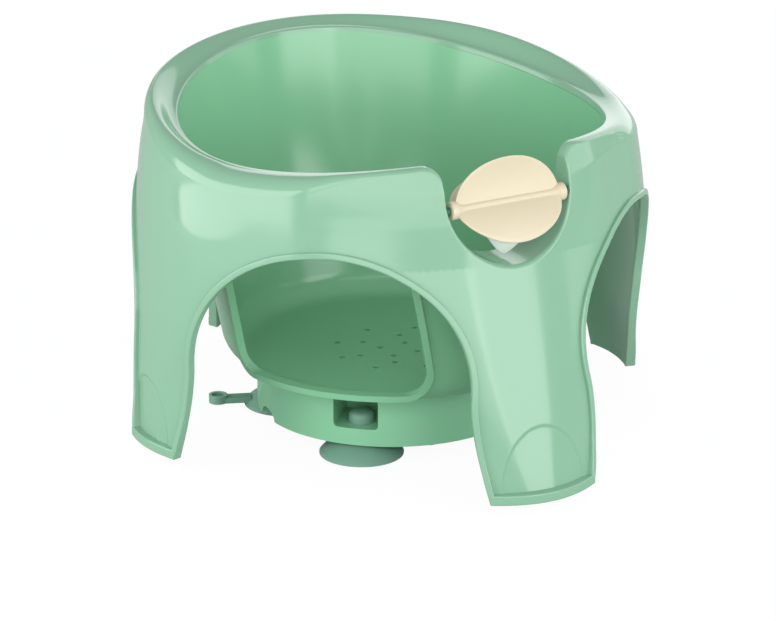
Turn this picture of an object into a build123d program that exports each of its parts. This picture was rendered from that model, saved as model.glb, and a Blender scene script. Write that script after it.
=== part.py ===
from build123d import *
import math
import os

# A baby bath seat: a ring on four legs, a drained bucket with two leg openings, a drum with
# four suction cups, and a roller that spins in a notch of the front rim.
# Millimetres. +Z is up, -Y is the front, and the origin is on the bath floor under the
# middle of the drum. An azimuth is in degrees round the vertical axis: 0 is the front and
# 90 is +X.

# Ring and skirt
FLOOR_GAP = 8.4  # height of the feet over the bath while the cups stand uncompressed
WALL = 3.0  # moulded wall of the ring and the legs
RING_RADIUS = 151.0  # outside of the ring just under its rim
RING_EDGE_Z = 193.0  # the skirt widens below this height and closes in above it
RING_FLARE = 7.0
RING_FLARE_LENGTH = 34.0
RING_CLOSING = 5.5  # how far the outside of the ring closes in at the height of the ridge
RIDGE_Z = 218.0  # top of the back rim
SKIRT_HEIGHTS = (FLOOR_GAP, 42.0, 90.0, 145.0, 180.0, RING_EDGE_Z + 8, 232.0)
SECTION_POINTS = 30

# Rim
BOWL_RADIUS = 101.0  # inside of the bucket at the bottom edge of the leg openings
BOWL_SLOPE = 0.198
BOWL_Z = 50.7
RIM_LOW_Z = 191.7  # lowest line of the rim, at the sides
RIM_TILT = 4.5
RIM_SADDLE = 18.2  # how much the rim climbs to the front and the back
RIM_HALF_LENGTH = 130.0
COVE_Y = -33.0  # the cove at the back is part of a cone about this line
COVE_RADIUS = 139.5
COVE_SLOPE = 1.46
RIDGE_LINE = ((-70, 185), (-45, 191), (-25, 194.6), (0, 197.3), (25, 201.2), (50, 205), (72, 208.6),
              (93, 211.5), (111, 213.7), (126, 215.6), (138, 217.4), (144, 217.6), (149, 214.5),
              (153, 206), (157, 192))
ROOF_LINE = ((157, 172), (153.5, 183), (150, 192), (145, 197.8), (138, 201.5), (124, 208.5),
             (100, 216), (50, 228), (0, 233))
LIMIT = 260.0  # beyond the seat in every direction

# Legs: azimuth, outside at the foot, spread in degrees at the foot
FRONT_REACH = 189.5
SIDE_AZIMUTH = 94.0
LEGS = ((180.0, 186.0, 21.0), (SIDE_AZIMUTH, 170.5, 16.0), (-SIDE_AZIMUTH, 170.5, 16.0))
LEG_TOP_Z = 150.0
FRONT_SPREAD = 21.0
FRONT_SPREAD_TOP = 58.0
FRONT_LINE = ((FLOOR_GAP, FRONT_REACH), (145, 150.5), (170, 146), (190, 142), (206, 134))

# Arches between the legs
ARCH_FOOT_HALF = 96.0
ARCH_HALF = 88.2
ARCH_CENTRE_Z = 70.0
ARCH_HEIGHT = 81.5
BEAD = 3.6  # width of the bead along an arch
BEAD_PROUD = 1.8

# Feet
FOOT_LIP = 6.2
FOOT_LIP_PROUD = 3.4

# Bucket
FLOOR_TOP_Z = 45.0
FLOOR_THICKNESS = 2.6
BUCKET_WALL = 2.6
BUCKET_CORNER = 17.0
DRAIN_RADIUS = 1.9
DRAIN_PAIRS = ((13, 13), (27.5, 20), (8.7, -1), (8.3, -17.5), (37.5, -4), (26, -7), (13.5, -28),
               (28, -30))
DRAIN_SINGLES = ((0, 31), (0, -43))
OPENING_FRONT = 16.7  # azimuth of an opening's front edge at its foot
OPENING_FRONT_TOP = 27.0
OPENING_BACK = 88.8
OPENING_TOP_Z = 152.0
OPENING_ROUND = 13.0
OPENING_INSIDE = 60.0
OPENING_OUTSIDE = 200.0
LIP = 4.0
LIP_PROUD = 2.2

# Drum
DRUM_RADIUS = 83.5
DRUM_WALL = 2.6
DRUM_BOTTOM_Z = 9.7
DRUM_TOP_Z = 42.3
WEB_TOP_Z = 20.4
WEB_THICKNESS = 2.6
WEB_HOLE_RADIUS = 28.0
WINDOW_WIDTH = 28.0
WINDOW_TOP_Z = 39.6
WINDOW_ROUND = 2.5
POCKET_DEPTH = 34.0
POCKET_WALL = 2.0
CUTOUT_AZIMUTH = 96.0
CUTOUT_WIDTH = 20.0
CUTOUT_TOP_Z = 16.0

# Suction cups
CUP_RADIUS = 25.8
CUP_CIRCLE = 69.0
NECK_RADIUS = 5.0
KNOB_RADIUS = 8.0
KNOB_HEIGHT = 7.4
TAB_REACH = 48.2
TAB_HALF_WIDTH = 4.2
TAB_BOTTOM_Z = 2.2
TAB_THICKNESS = 3.4
TAB_END_RADIUS = 5.8
TAB_GRIP = 1.6  # height of the ring that stands on the tab's end

# Roller
NOTCH_RADIUS = 42.0
NOTCH_CENTRE_Z = 185.0
NOTCH_TOP_Z = 206.2
NOTCH_MOUTH_ROUND = 8.0
AXLE_Y = -136.0
AXLE_Z = 178.0
AXLE_RADIUS = 1.8
AXLE_HALF = 44.6
CORE_RADIUS = 4.2
HUB_RADIUS = 5.4
HUB_LENGTH = 5.0
HUB_END = 38.6
DIMPLE_RADIUS = 1.0
BUSH_RADIUS = 3.6
BUSH_INNER_END = 40.2
BUSH_OUTER_END = 44.9
VANE_ANGLES = (0.0, 135.0, 290.0)  # from straight up, turning to the front
WHITE_VANE_ANGLE = 180.0
VANE_REACH = 27.5
VANE_HALF = 34.5
VANE_THICKNESS = 1.8
VANE_SAG = 2.6
WHITE_REACH = 33.4
WHITE_HALF = 24.0
WHITE_ROOT = 2.8

# Screws
SCREW_RADIUS = 1.75
SCREW_HEAD_RADIUS = 3.4
SCREW_HEAD = 2.2
SCREW_LENGTH = 14.0
BOSS_RADIUS = 4.0
BOSS_HEIGHT = 26.0
LUG_TOP_Z = 180.0
LUG_THICKNESS = 2.6
LUG_CIRCLE = 138.0
LUG_HALF_WIDTH = 6.0
LUG_REACH = 16.0
BASE_CIRCLE = 60.0

# Clearances
FIT = 0.05  # radial, where one piece turns in another
GAP = 0.3  # between mouldings that are fitted together
REST = 0.1  # between faces that slide over one another


def around(azimuth: float, radius: float) -> tuple[float, float]:
    """Return the plan position at an azimuth and a distance from the middle."""
    angle = math.radians(azimuth)
    return radius * math.sin(angle), -radius * math.cos(angle)


def facing(azimuth: float, distance: float = 0.0) -> Plane:
    """Return the upright plane square to an azimuth; its x runs level and its y is up."""
    angle = math.radians(azimuth)
    return Plane(
        origin=(*around(azimuth, distance), 0),
        x_dir=(math.cos(angle), math.sin(angle), 0),
        z_dir=(math.sin(angle), -math.cos(angle), 0),
    )


def between(points: tuple, z: float) -> float:
    """Return the value at a height on a line of (height, value) points, ends produced."""
    for (low, low_value), (high, high_value) in zip(points, points[1:]):
        if z <= high:
            break
    return low_value + (high_value - low_value) * (z - low) / (high - low)


def ring_radius(z: float) -> float:
    """Return the outside of the plain ring at one height, without legs."""
    if z > RING_EDGE_Z:
        climb = (z - RING_EDGE_Z) / (RIDGE_Z - RING_EDGE_Z)
        return RING_RADIUS - RING_CLOSING * climb ** 2
    return RING_RADIUS + RING_FLARE * (1 - math.exp((z - RING_EDGE_Z) / RING_FLARE_LENGTH))


def skirt_radius(azimuth: float, z: float) -> float:
    """Return the outside of the skirt with its legs at one azimuth and height."""
    radius = ring_radius(z)
    down = max(0.0, (LEG_TOP_Z - z) / (LEG_TOP_Z - FLOOR_GAP))
    for centre, reach, spread in LEGS:
        away = (azimuth - centre + 180) % 360 - 180
        radius += down * (reach - ring_radius(FLOOR_GAP)) * math.exp(-((away / spread) ** 2))
    away = (azimuth + 180) % 360 - 180
    spread = FRONT_SPREAD + (1 - down) * (FRONT_SPREAD_TOP - FRONT_SPREAD)
    front = between(FRONT_LINE, z) - ring_radius(z)
    return radius + front * math.exp(-((away / spread) ** 2))


def skirt_outline(z: float, inset: float) -> Sketch:
    """Return one level section of the skirt, moved inwards by inset."""
    turns = [360 * step / SECTION_POINTS for step in range(SECTION_POINTS)]
    with BuildSketch(Plane.XY.offset(z)) as section:
        with BuildLine():
            Spline(*[around(a, skirt_radius(a, z) - inset) for a in turns], periodic=True)
        make_face()
    return section.sketch


def skirt(inset: float) -> Part:
    """Return the space within the skirt's outside, moved inwards by inset."""
    sections = [skirt_outline(z, inset) for z in SKIRT_HEIGHTS]
    with BuildPart() as body:
        loft(sections)
    return body.part


def crease_height(y: float) -> float:
    """Return the height of the rim's inner edge over one place along the seat."""
    along = (y - 2) / RIM_HALF_LENGTH
    return RIM_LOW_Z + RIM_TILT * along + RIM_SADDLE * along ** 2


def under(plane: Plane, points: list[tuple[float, float]]) -> Part:
    """Return the space under one smooth line, drawn on an upright plane and drawn out along it."""
    with BuildPart() as space:
        with BuildSketch(plane.offset(-LIMIT)):
            with BuildLine():
                Spline(*points)
                Polyline(points[-1], (LIMIT, points[-1][1]), (LIMIT, -10), (-LIMIT, -10),
                         (-LIMIT, points[0][1]), points[0])
            make_face()
        extrude(amount=2 * LIMIT)
    return space.part


def below_rim(drop: float) -> Part:
    """Return the space under the rim's upper faces, lowered by drop.

    The rim is level across at the front. At the sides and the back a cove climbs from the inner
    edge to a ridge.
    """
    front = [(-149, 176), (-143, 190), (-138, 199), (-133, 204.6)]
    crease = front + [(y, crease_height(y)) for y in range(-127, 170, 18)]
    with BuildPart() as cove:
        for z in (RIM_LOW_Z - 30, RIDGE_Z + 30):
            with BuildSketch(Plane.XY.offset(z - drop)):
                with Locations((0, COVE_Y)):
                    Circle(COVE_RADIUS + COVE_SLOPE * (z - RIM_LOW_Z))
        loft()
    with BuildPart() as space:
        add(under(Plane.YZ, [(y, z - drop) for y, z in RIDGE_LINE]))
        add(cove.part, mode=Mode.SUBTRACT)
        add(under(Plane.YZ, [(y, z - drop) for y, z in crease]))
        roof = [(-x, z - drop) for x, z in ROOF_LINE] + [(x, z - drop) for x, z in ROOF_LINE[-2::-1]]
        add(under(Plane.XZ, roof), mode=Mode.INTERSECT)
    return space.part


def arches(grow: float) -> Part:
    """Return the space of the four arches, grown all round by grow."""
    half = ARCH_HALF + grow
    foot = ARCH_FOOT_HALF + grow + 1
    with BuildPart() as space:
        for azimuth in (45, 135):
            with BuildSketch(facing(azimuth, -LIMIT)):
                with BuildLine():
                    EllipticalCenterArc((0, ARCH_CENTRE_Z), half, ARCH_HEIGHT + grow, arc_size=180)
                    Polyline((-half, ARCH_CENTRE_Z), (-foot, 0), (foot, 0), (half, ARCH_CENTRE_Z))
                make_face()
            extrude(amount=2 * LIMIT)
    return space.part


def notch(grow: float) -> Part:
    """Return the space of the front notch, grown all round by grow, out through the front."""
    half = NOTCH_RADIUS + grow
    top = NOTCH_TOP_Z - grow
    with BuildPart() as space:
        with BuildSketch(Plane.XZ.offset(90)) as outline:
            with Locations((0, NOTCH_CENTRE_Z)):
                Circle(half)
            with Locations((0, (NOTCH_CENTRE_Z + top + 1) / 2)):
                Rectangle(2 * half, top + 1 - NOTCH_CENTRE_Z)
            with Locations((0, top + LIMIT / 4)):
                Rectangle(4 * half, LIMIT / 2)
            mouth = [v for v in outline.vertices() if abs(v.Y - top) < 1 and abs(v.X) < half + 1]
            fillet(mouth, NOTCH_MOUTH_ROUND)
        extrude(amount=120)
    return space.part


def bowl_radius(z: float) -> float:
    """Return the inside of the bucket's wall at one height."""
    return BOWL_RADIUS + BOWL_SLOPE * (z - BOWL_Z)


def bowl(bottom: float, corner: float = 0.0) -> Part:
    """Return the space inside the bucket's wall."""
    with BuildPart() as space:
        for z in (bottom, LIMIT):
            with BuildSketch(Plane.XY.offset(z)):
                Circle(bowl_radius(z))
        loft()
        if corner:
            fillet(space.faces().sort_by(Axis.Z)[0].edges(), corner)
    return space.part


def bucket_body(proud: float, bottom: float, corner: float) -> Part:
    """Return the bucket's outside as a solid body that stands proud of its wall."""
    with BuildPart() as body:
        for z in (bottom, LIMIT):
            with BuildSketch(Plane.XY.offset(z)):
                Circle(bowl_radius(z) + BUCKET_WALL + proud)
        loft()
        fillet(body.faces().sort_by(Axis.Z)[0].edges(), corner)
    return body.part


def opening(side: int, grow: float) -> Part:
    """Return the space of one leg opening, grown all round by grow."""
    near = OPENING_INSIDE
    far = OPENING_OUTSIDE
    with BuildPart() as space:
        for z, front in ((BOWL_Z - grow, OPENING_FRONT), (OPENING_TOP_Z + grow, OPENING_FRONT_TOP)):
            margin = math.degrees(grow / bowl_radius(z))
            start = side * (front - margin)
            end = side * (OPENING_BACK + margin)
            with BuildSketch(Plane.XY.offset(z)):
                with BuildLine():
                    Polyline(around(start, near), around(start, far),
                             around((start + end) / 2, 1.3 * far), around(end, far),
                             around(end, near), close=True)
                make_face()
        loft(ruled=True)
        corners = [edge for edge in space.edges() if abs(edge.length - (far - near)) < 1]
        fillet(corners, OPENING_ROUND + grow)
    return space.part


def screws(spots: list[tuple[float, float]], head_top: float) -> Part:
    """Return a set of like screws that point up from head_top."""
    with BuildPart() as set_of_screws:
        with BuildSketch(Plane.XY.offset(head_top - SCREW_HEAD)):
            with Locations(*spots):
                Circle(SCREW_HEAD_RADIUS)
        extrude(amount=SCREW_HEAD)
        chamfer(set_of_screws.faces().sort_by(Axis.Z)[:len(spots)].edges(), 0.6)
        with BuildSketch(Plane.XY.offset(head_top)):
            with Locations(*spots):
                Circle(SCREW_RADIUS - FIT)
        extrude(amount=SCREW_LENGTH)
        with BuildSketch(Plane.XY.offset(head_top - SCREW_HEAD)):
            with Locations(*spots):
                Rectangle(3.6, 0.8)
                Rectangle(0.8, 3.6)
        extrude(amount=1.2, mode=Mode.SUBTRACT)
    return set_of_screws.part


def vane_plane(angle: float, edge_on: bool = False) -> Plane:
    """Return a plane through the axle: face on to a vane, or square to the axle."""
    turn = math.radians(angle)
    centre = (0, AXLE_Y, AXLE_Z)
    if edge_on:
        return Plane(origin=centre, x_dir=(0, -math.sin(turn), math.cos(turn)), z_dir=(1, 0, 0))
    return Plane(origin=centre, x_dir=(1, 0, 0), z_dir=(0, -math.cos(turn), -math.sin(turn)))


def vane(angle: float, reach: float, half: float, root: float, pointed: bool) -> Part:
    """Return one curved vane of the roller: a half disc, or a shield with a pointed tip."""
    bend = VANE_SAG
    thin = VANE_THICKNESS / 2
    with BuildPart() as blade:
        with BuildSketch(vane_plane(angle)):
            with BuildLine():
                if pointed:
                    ThreePointArc((-half, root), (-half * 0.7, reach * 0.62), (0, reach))
                    ThreePointArc((0, reach), (half * 0.7, reach * 0.62), (half, root))
                else:
                    points = [(half * math.cos(math.radians(t)),
                               root + (reach - root) * math.sin(math.radians(t)))
                              for t in range(0, 181, 15)]
                    Spline(*points)
                Line((half, root), (-half, root))
            make_face()
        extrude(amount=12, both=True)
        with BuildSketch(vane_plane(angle, edge_on=True).offset(-half - 1)):
            with BuildLine():
                for side in (-thin, thin):
                    ThreePointArc((root - 1, side), (reach / 2, side + bend),
                                  (reach + 1, side - bend / 3))
                Line((root - 1, -thin), (root - 1, thin))
                Line((reach + 1, -thin - bend / 3), (reach + 1, thin - bend / 3))
            make_face()
        extrude(amount=2 * half + 2, mode=Mode.INTERSECT)
    return blade.part


rim_spots = [around(azimuth, LUG_CIRCLE) for azimuth in (45, 135, 225, 315)]
base_spots = [around(azimuth, BASE_CIRCLE) for azimuth in (0, 90, 180, 270)]
CUPS = (
    ("suction_cup_front_left", -45, -15),
    ("suction_cup_front_right", 45, 195),
    ("suction_cup_rear_left", -135, 158),
    ("suction_cup_rear_right", 135, 22),
)

# The hollow between the ring's outside and the bucket; the notch keeps its cheeks
with BuildPart() as ring_hollow:
    add(skirt(WALL))
    add(below_rim(WALL), mode=Mode.INTERSECT)
    add(notch(WALL), mode=Mode.SUBTRACT)

# A low lip runs along the bottom of each leg
with BuildPart() as foot_lip:
    extrude(skirt_outline(FLOOR_GAP, -FOOT_LIP_PROUD), amount=FOOT_LIP)
    extrude(skirt_outline(FLOOR_GAP, 0.8 * WALL), amount=FOOT_LIP, mode=Mode.SUBTRACT)

with BuildPart() as outer_shell:
    add(arches(BEAD))
    add(skirt(-BEAD_PROUD), mode=Mode.INTERSECT)
    add(skirt(0.0))
    add(foot_lip.part)
    add(ring_hollow.part, mode=Mode.SUBTRACT)
    with BuildSketch(Plane.XY.offset(LUG_TOP_Z + REST)):
        with Locations(*rim_spots):
            Circle(BOSS_RADIUS)
    extrude(amount=BOSS_HEIGHT)
    add(below_rim(0.0), mode=Mode.INTERSECT)
    add(bowl(100.0), mode=Mode.SUBTRACT)
    add(notch(0.0), mode=Mode.SUBTRACT)
    add(arches(0.0), mode=Mode.SUBTRACT)
    with BuildSketch(Plane.XY.offset(LUG_TOP_Z)):
        with Locations(*rim_spots):
            Circle(SCREW_RADIUS)
    extrude(amount=SCREW_LENGTH - LUG_THICKNESS + 1, mode=Mode.SUBTRACT)
    with BuildSketch(Plane.YZ):
        with Locations((AXLE_Y, AXLE_Z)):
            Circle(BUSH_RADIUS + FIT)
    extrude(amount=BUSH_OUTER_END + 1, both=True, mode=Mode.SUBTRACT)
outer_shell.part.label = "outer_shell"

# Flat bands stand proud of the bucket round its two leg openings
with BuildPart() as opening_lips:
    add(bucket_body(LIP_PROUD, BOWL_Z - 2 * LIP, LIP))
    with BuildSketch(Plane.XY.offset(BOWL_Z - 2 * LIP)):
        Circle(bowl_radius(BOWL_Z))
    extrude(amount=LIMIT, mode=Mode.SUBTRACT)
    add(Compound([opening(side, LIP) for side in (-1, 1)]), mode=Mode.INTERSECT)

with BuildPart() as seat_bucket:
    add(bucket_body(0.0, FLOOR_TOP_Z - FLOOR_THICKNESS, BUCKET_CORNER + BUCKET_WALL))
    add(opening_lips.part)
    with BuildSketch(Plane.XY.offset(LUG_TOP_Z - LUG_THICKNESS)):
        with PolarLocations(LUG_CIRCLE, len(rim_spots), start_angle=45):
            Circle(LUG_HALF_WIDTH)
        with PolarLocations(LUG_CIRCLE - LUG_REACH / 2, len(rim_spots), start_angle=45):
            Rectangle(LUG_REACH, 2 * LUG_HALF_WIDTH)
    extrude(amount=LUG_THICKNESS)
    with BuildSketch(Plane.XY.offset(WEB_TOP_Z + REST)):
        with Locations(*base_spots):
            Circle(BOSS_RADIUS)
    extrude(amount=FLOOR_TOP_Z - FLOOR_THICKNESS / 2 - WEB_TOP_Z - REST)
    add(bowl(FLOOR_TOP_Z, BUCKET_CORNER), mode=Mode.SUBTRACT)
    for side in (-1, 1):
        add(opening(side, 0.0), mode=Mode.SUBTRACT)
    add(notch(WALL + GAP), mode=Mode.SUBTRACT)
    add(below_rim(WALL + GAP), mode=Mode.INTERSECT)
    with BuildSketch(Plane.XY.offset(FLOOR_TOP_Z - 2 * FLOOR_THICKNESS)):
        with Locations(*DRAIN_SINGLES, *DRAIN_PAIRS, *[(-x, y) for x, y in DRAIN_PAIRS]):
            Circle(DRAIN_RADIUS)
    extrude(amount=3 * FLOOR_THICKNESS, mode=Mode.SUBTRACT)
    with BuildSketch(Plane.XY.offset(WEB_TOP_Z)):
        with Locations(*base_spots):
            Circle(SCREW_RADIUS)
    extrude(amount=SCREW_LENGTH - WEB_THICKNESS + 1, mode=Mode.SUBTRACT)
    with BuildSketch(Plane.XY.offset(LUG_TOP_Z - 2 * LUG_THICKNESS)):
        with Locations(*rim_spots):
            Circle(SCREW_RADIUS + GAP)
    extrude(amount=3 * LUG_THICKNESS, mode=Mode.SUBTRACT)
seat_bucket.part.label = "seat_bucket"

pocket_middle = DRUM_RADIUS - POCKET_DEPTH / 2
with BuildPart() as base_drum:
    with BuildSketch(Plane.XY.offset(DRUM_BOTTOM_Z)):
        Circle(DRUM_RADIUS)
    extrude(amount=DRUM_TOP_Z - DRUM_BOTTOM_Z)
    with BuildSketch(Plane.XY.offset(DRUM_BOTTOM_Z)):
        Circle(DRUM_RADIUS - DRUM_WALL)
    extrude(amount=WEB_TOP_Z - WEB_THICKNESS - DRUM_BOTTOM_Z, mode=Mode.SUBTRACT)
    with BuildSketch(Plane.XY.offset(WEB_TOP_Z)):
        Circle(DRUM_RADIUS - DRUM_WALL)
        with PolarLocations(pocket_middle - POCKET_WALL, len(CUPS), start_angle=45):
            Rectangle(POCKET_DEPTH, WINDOW_WIDTH + 1 + 2 * POCKET_WALL, mode=Mode.SUBTRACT)
    extrude(amount=DRUM_TOP_Z - WEB_TOP_Z, mode=Mode.SUBTRACT)
    with BuildSketch(Plane.XY.offset(WEB_TOP_Z)):
        with PolarLocations(pocket_middle, len(CUPS), start_angle=45):
            Rectangle(POCKET_DEPTH, WINDOW_WIDTH + 1)
        Circle(DRUM_RADIUS - DRUM_WALL, mode=Mode.INTERSECT)
    extrude(amount=DRUM_TOP_Z - WEB_TOP_Z, mode=Mode.SUBTRACT)
    for name, azimuth, tab_angle in CUPS:
        with BuildSketch(facing(azimuth, pocket_middle)):
            with Locations((0, (WEB_TOP_Z + WINDOW_TOP_Z) / 2)):
                RectangleRounded(WINDOW_WIDTH, WINDOW_TOP_Z - WEB_TOP_Z, WINDOW_ROUND)
        extrude(amount=POCKET_DEPTH, mode=Mode.SUBTRACT)
    for azimuth in (-CUTOUT_AZIMUTH, CUTOUT_AZIMUTH):
        with BuildSketch(facing(azimuth, pocket_middle)):
            with Locations((0, DRUM_BOTTOM_Z)):
                Ellipse(CUTOUT_WIDTH / 2, CUTOUT_TOP_Z - DRUM_BOTTOM_Z)
        extrude(amount=POCKET_DEPTH, mode=Mode.SUBTRACT)
    with BuildSketch(Plane.XY.offset(WEB_TOP_Z - 2 * WEB_THICKNESS)):
        Circle(WEB_HOLE_RADIUS)
        with PolarLocations(CUP_CIRCLE, len(CUPS), start_angle=45):
            Circle(NECK_RADIUS + FIT)
        with Locations(*base_spots):
            Circle(SCREW_RADIUS + GAP)
    extrude(amount=3 * WEB_THICKNESS, mode=Mode.SUBTRACT)
base_drum.part.label = "base_drum"

# Each suction cup is one rubber moulding: cup, stud, knob over the web, and pull tab
cups = {}
for name, azimuth, tab_angle in CUPS:
    x, y = around(azimuth, CUP_CIRCLE)
    turn = math.radians(tab_angle)
    shoulder_z = WEB_TOP_Z - WEB_THICKNESS - REST
    knob_z = WEB_TOP_Z + REST
    with BuildPart() as cup:
        with BuildSketch(Plane(origin=(x, y, 0), x_dir=(1, 0, 0), z_dir=(0, -1, 0))):
            with BuildLine():
                Spline((0, 6), (14, 4), (CUP_RADIUS - 1.4, 0), tangents=((1, 0), (2, -1)))
                Polyline((CUP_RADIUS - 1.4, 0), (CUP_RADIUS, 0), (CUP_RADIUS, 0.8))
                ThreePointArc((CUP_RADIUS, 0.8), (20, 5.9), (12, 8.8))
                Line((12, 8.8), (9, 11.5))
                Polyline((9, 11.5), (9, shoulder_z), (NECK_RADIUS, shoulder_z),
                         (NECK_RADIUS, knob_z), (KNOB_RADIUS, knob_z),
                         (KNOB_RADIUS, knob_z + KNOB_HEIGHT * 0.4))
                Spline((KNOB_RADIUS, knob_z + KNOB_HEIGHT * 0.4), (0, knob_z + KNOB_HEIGHT),
                       tangents=((0, 1), (-1, 0)))
                Line((0, knob_z + KNOB_HEIGHT), (0, 6))
            make_face()
        revolve(axis=Axis((x, y, 0), (0, 0, 1)))
        along = Plane(origin=(x, y, TAB_BOTTOM_Z), x_dir=(math.cos(turn), math.sin(turn), 0),
                      z_dir=(0, 0, 1))
        end = TAB_REACH - TAB_END_RADIUS
        with BuildSketch(along):
            with Locations(((CUP_RADIUS - 4 + end) / 2, 0)):
                Rectangle(end - CUP_RADIUS + 4, 2 * TAB_HALF_WIDTH)
            with Locations((end, 0)):
                Circle(TAB_END_RADIUS)
        extrude(amount=TAB_THICKNESS)
        with BuildSketch(along.offset(TAB_THICKNESS)):
            with Locations((end, 0)):
                Circle(TAB_END_RADIUS)
                Circle(TAB_END_RADIUS - 1.5, mode=Mode.SUBTRACT)
        extrude(amount=TAB_GRIP)
    cup.part.label = name
    cups[name] = cup.part

white_slot = vane_plane(WHITE_VANE_ANGLE)
with BuildPart() as roller_wheel:
    with BuildSketch(Plane.YZ):
        with Locations((AXLE_Y, AXLE_Z)):
            Circle(CORE_RADIUS)
    extrude(amount=HUB_END, both=True)
    for side in (-1, 1):
        with BuildSketch(Plane.YZ.offset(side * HUB_END - (side + 1) / 2 * HUB_LENGTH)):
            with Locations((AXLE_Y, AXLE_Z)):
                Circle(HUB_RADIUS)
        extrude(amount=HUB_LENGTH)
    for angle in VANE_ANGLES:
        add(vane(angle, VANE_REACH, VANE_HALF, CORE_RADIUS / 2, False))
    with BuildSketch(Plane.YZ):
        with Locations((AXLE_Y, AXLE_Z)):
            Circle(AXLE_RADIUS + FIT)
    extrude(amount=HUB_END + 1, both=True, mode=Mode.SUBTRACT)
    with BuildSketch(white_slot):
        with Locations((0, CORE_RADIUS + 2)):
            Rectangle(2 * WHITE_HALF + 1, 2 * (CORE_RADIUS + 2 - WHITE_ROOT))
    extrude(amount=VANE_THICKNESS, both=True, mode=Mode.SUBTRACT)
    for side in (-1, 1):
        with BuildSketch(Plane.YZ.offset(side * HUB_END - side * 0.8)):
            with Locations((AXLE_Y, AXLE_Z + 3.6), (AXLE_Y, AXLE_Z - 3.6)):
                Circle(DIMPLE_RADIUS)
        extrude(amount=side * 2, mode=Mode.SUBTRACT)
roller_wheel.part.label = "roller_wheel"

with BuildPart() as roller_white_vane:
    add(vane(WHITE_VANE_ANGLE, WHITE_REACH, WHITE_HALF, WHITE_ROOT + FIT, True))
roller_white_vane.part.label = "roller_white_vane"

with BuildPart() as roller_axle:
    with BuildSketch(Plane.YZ):
        with Locations((AXLE_Y, AXLE_Z)):
            Circle(AXLE_RADIUS)
    extrude(amount=AXLE_HALF, both=True)
    chamfer(roller_axle.edges().filter_by(GeomType.CIRCLE), 0.4)
roller_axle.part.label = "roller_axle"

bushes = {}
for name, side in (("axle_bush_left", -1), ("axle_bush_right", 1)):
    with BuildPart() as bush:
        with BuildSketch(Plane.YZ.offset(side * BUSH_INNER_END)):
            with Locations((AXLE_Y, AXLE_Z)):
                Circle(BUSH_RADIUS)
                Circle(AXLE_RADIUS + FIT, mode=Mode.SUBTRACT)
        extrude(amount=side * (BUSH_OUTER_END - BUSH_INNER_END))
    bush.part.label = name
    bushes[name] = bush.part

rim_screws = screws(rim_spots, LUG_TOP_Z - LUG_THICKNESS)
rim_screws.label = "rim_screws"
base_screws = screws(base_spots, WEB_TOP_Z - WEB_THICKNESS)
base_screws.label = "base_screws"

pieces = [outer_shell.part, seat_bucket.part, base_drum.part, *cups.values(), roller_wheel.part,
          roller_white_vane.part, roller_axle.part, *bushes.values(), rim_screws, base_screws]
os.makedirs("parts", exist_ok=True)
for piece in pieces:
    export_step(piece, f"parts/{piece.label}.step")
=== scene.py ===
"""Dress the baby bath seat: finishes, the moulded shell's fine form, light and camera.

Everything is in metres, in the frame of the CAD model: +Z is up, -Y is the front and the origin
is on the bath floor under the middle of the seat.
"""

import logging
import math
from collections.abc import Callable
from dataclasses import dataclass, field
from enum import Enum

import bpy
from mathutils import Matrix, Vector
from mathutils.geometry import delaunay_2d_cdt
from mathutils.kdtree import KDTree


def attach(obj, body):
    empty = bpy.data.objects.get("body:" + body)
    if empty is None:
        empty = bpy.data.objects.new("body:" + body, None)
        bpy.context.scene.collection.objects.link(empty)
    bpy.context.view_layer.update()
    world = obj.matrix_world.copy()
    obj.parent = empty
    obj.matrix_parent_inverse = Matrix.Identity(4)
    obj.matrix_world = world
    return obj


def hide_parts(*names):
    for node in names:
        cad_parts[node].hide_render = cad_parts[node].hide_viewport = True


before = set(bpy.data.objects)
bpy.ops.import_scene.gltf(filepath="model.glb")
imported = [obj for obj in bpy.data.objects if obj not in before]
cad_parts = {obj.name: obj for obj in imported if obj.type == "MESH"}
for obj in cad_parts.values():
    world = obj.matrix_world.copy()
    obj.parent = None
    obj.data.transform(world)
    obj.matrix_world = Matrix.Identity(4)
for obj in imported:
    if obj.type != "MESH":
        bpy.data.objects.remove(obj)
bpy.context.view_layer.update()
LOG = logging.getLogger("bath_seat")
MM = 0.001
# The roller's axle runs across the notch at this place, in millimetres
AXLE_Y = -136.0
AXLE_Z = 178.0

# Values by place along a line, and an outline across a swept bead
Profile = tuple[tuple[float, float], ...]
Outline = list[tuple[float, float]]


class Part(Enum):
    """The bodies of the model that a piece can ride on."""

    SEAT = "seat"
    ROLLER = "roller"


def linear(code: str) -> tuple[float, float, float, float]:
    """Turn an sRGB hex colour into linear RGBA.

    Args:
        code: Six hex digits after a hash sign, such as "#8FC7A6".

    Returns:
        The colour as four linear values, opaque.
    """
    values = [int(code[at:at + 2], 16) / 255 for at in (1, 3, 5)]
    red, green, blue = (
        value / 12.92 if value <= 0.04045 else ((value + 0.055) / 1.055) ** 2.4
        for value in values
    )
    return (red, green, blue, 1.0)


def add_node(
    tree: bpy.types.NodeTree,
    kind: str,
    settings: dict[str, object] | None = None,
    links: dict[str | int, bpy.types.NodeSocket] | None = None,
) -> bpy.types.Node:
    """Add one shader node, set its sockets and properties, and link its inputs.

    Args:
        tree: The node tree that the node goes into.
        kind: The node's type name in Blender.
        settings: Values by input name, or by property name where there is no such input.
        links: Output sockets by the name or number of the input that each one drives.

    Returns:
        The new node.
    """
    node = tree.nodes.new(kind)
    for name, value in (settings or {}).items():
        if name in node.inputs:
            node.inputs[name].default_value = value
        else:
            setattr(node, name, value)
    for name, source in (links or {}).items():
        tree.links.new(source, node.inputs[name])
    return node


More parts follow.
